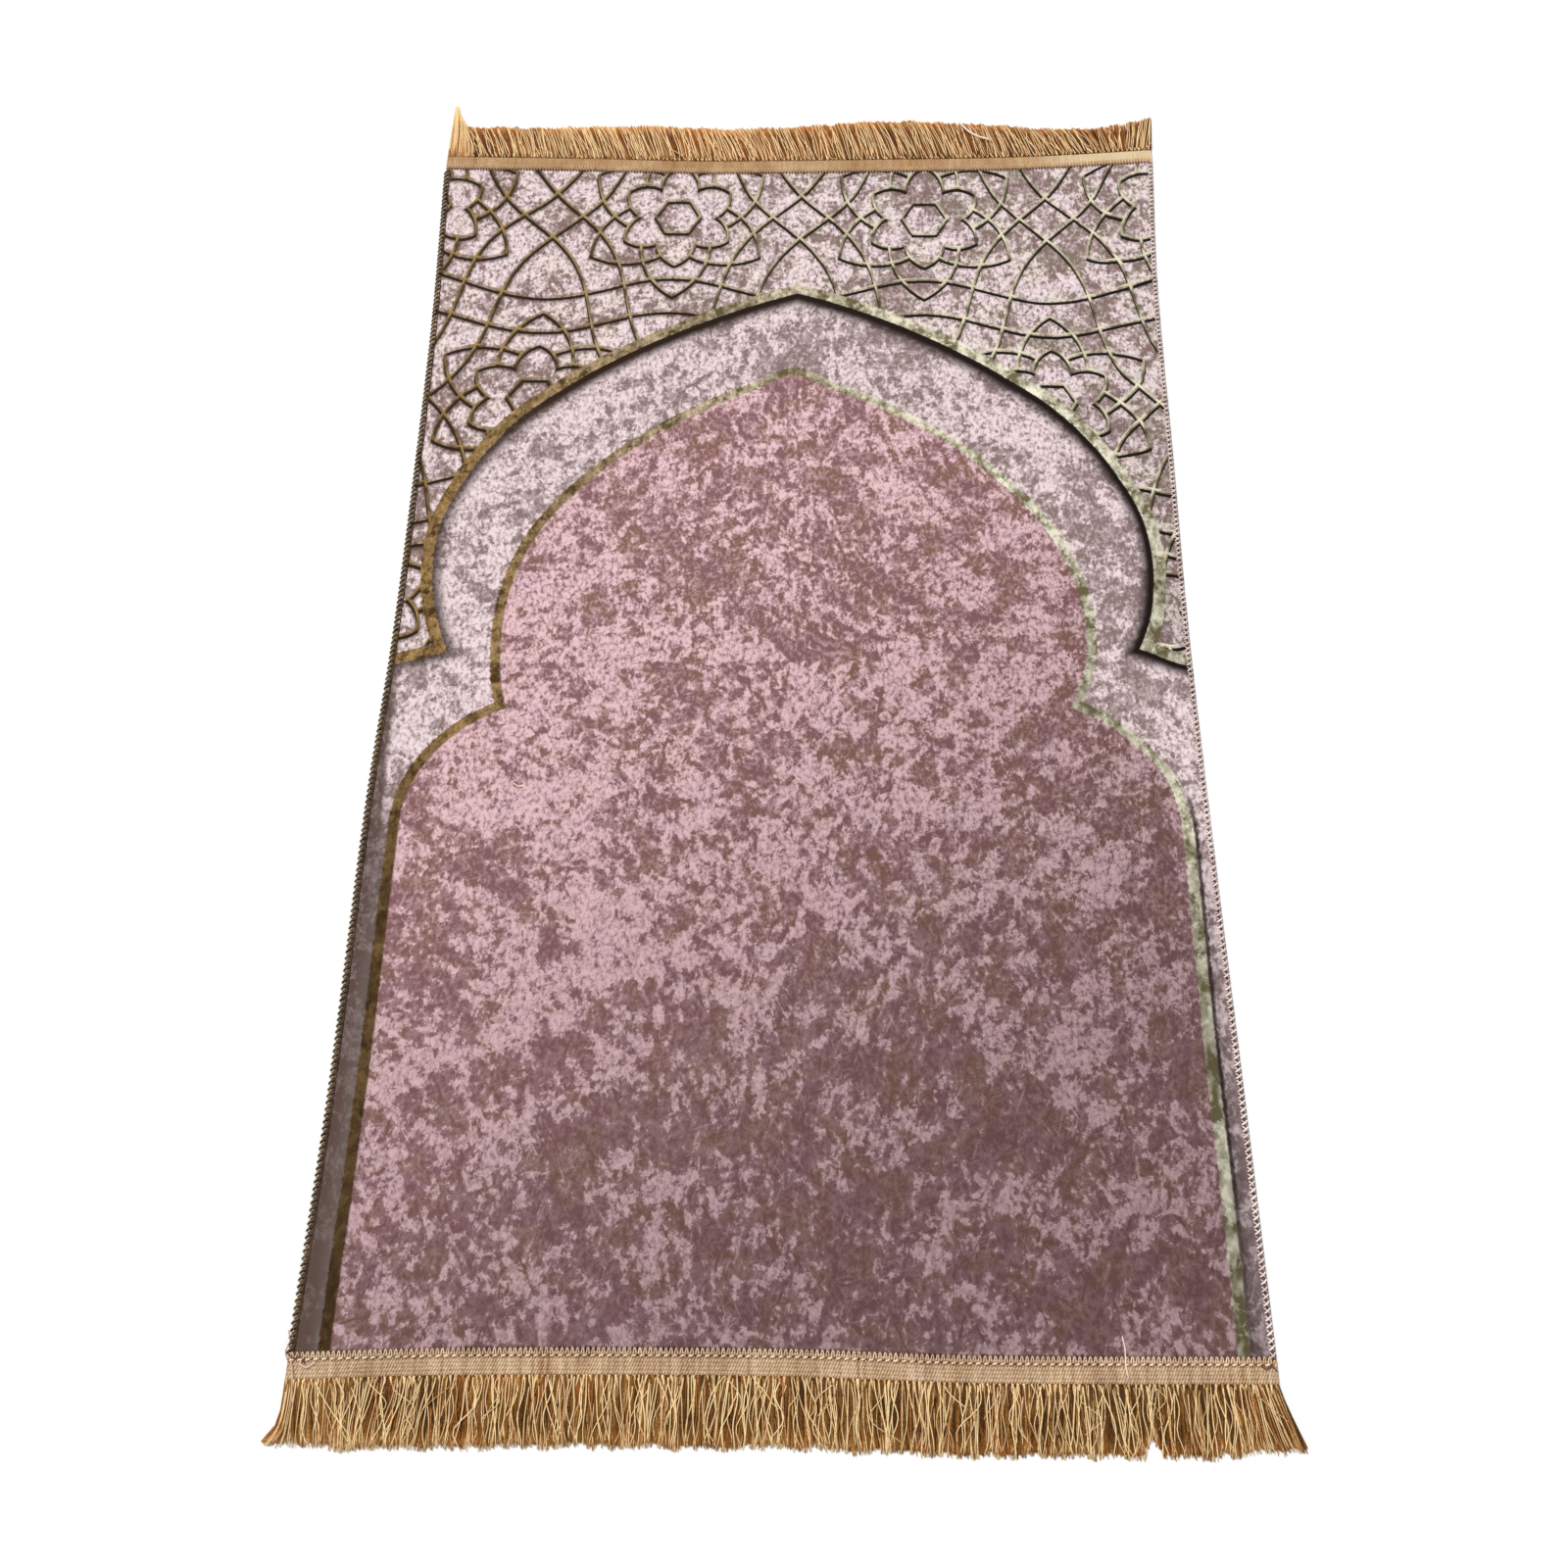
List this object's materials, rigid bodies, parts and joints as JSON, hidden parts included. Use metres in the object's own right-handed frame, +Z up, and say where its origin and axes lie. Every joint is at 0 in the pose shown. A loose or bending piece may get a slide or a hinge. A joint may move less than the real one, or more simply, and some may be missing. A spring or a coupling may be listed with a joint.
{
  "type": "prayer rug",
  "caption": "Flat rectangular prayer rug of printed plush velvet, with overlocked sides and a gold thread fringe sewn to each end.",
  "frame": {"origin": "on the floor under the middle of the rug's box", "axes": "+Y along the rug, from the square end of the arch to its pointed end; +Z up, out of the pile"},
  "size_m": [0.722, 1.241, 0.0029],
  "materials": {
    "velvet": "crushed plush pile with a woven-look print",
    "fringe": "soft sheen thread"
  },
  "bodies": {
    "root": {"rug_panel": "velvet", "fringe_near": "fringe", "fringe_far": "fringe"}
  },
  "joints": []
}
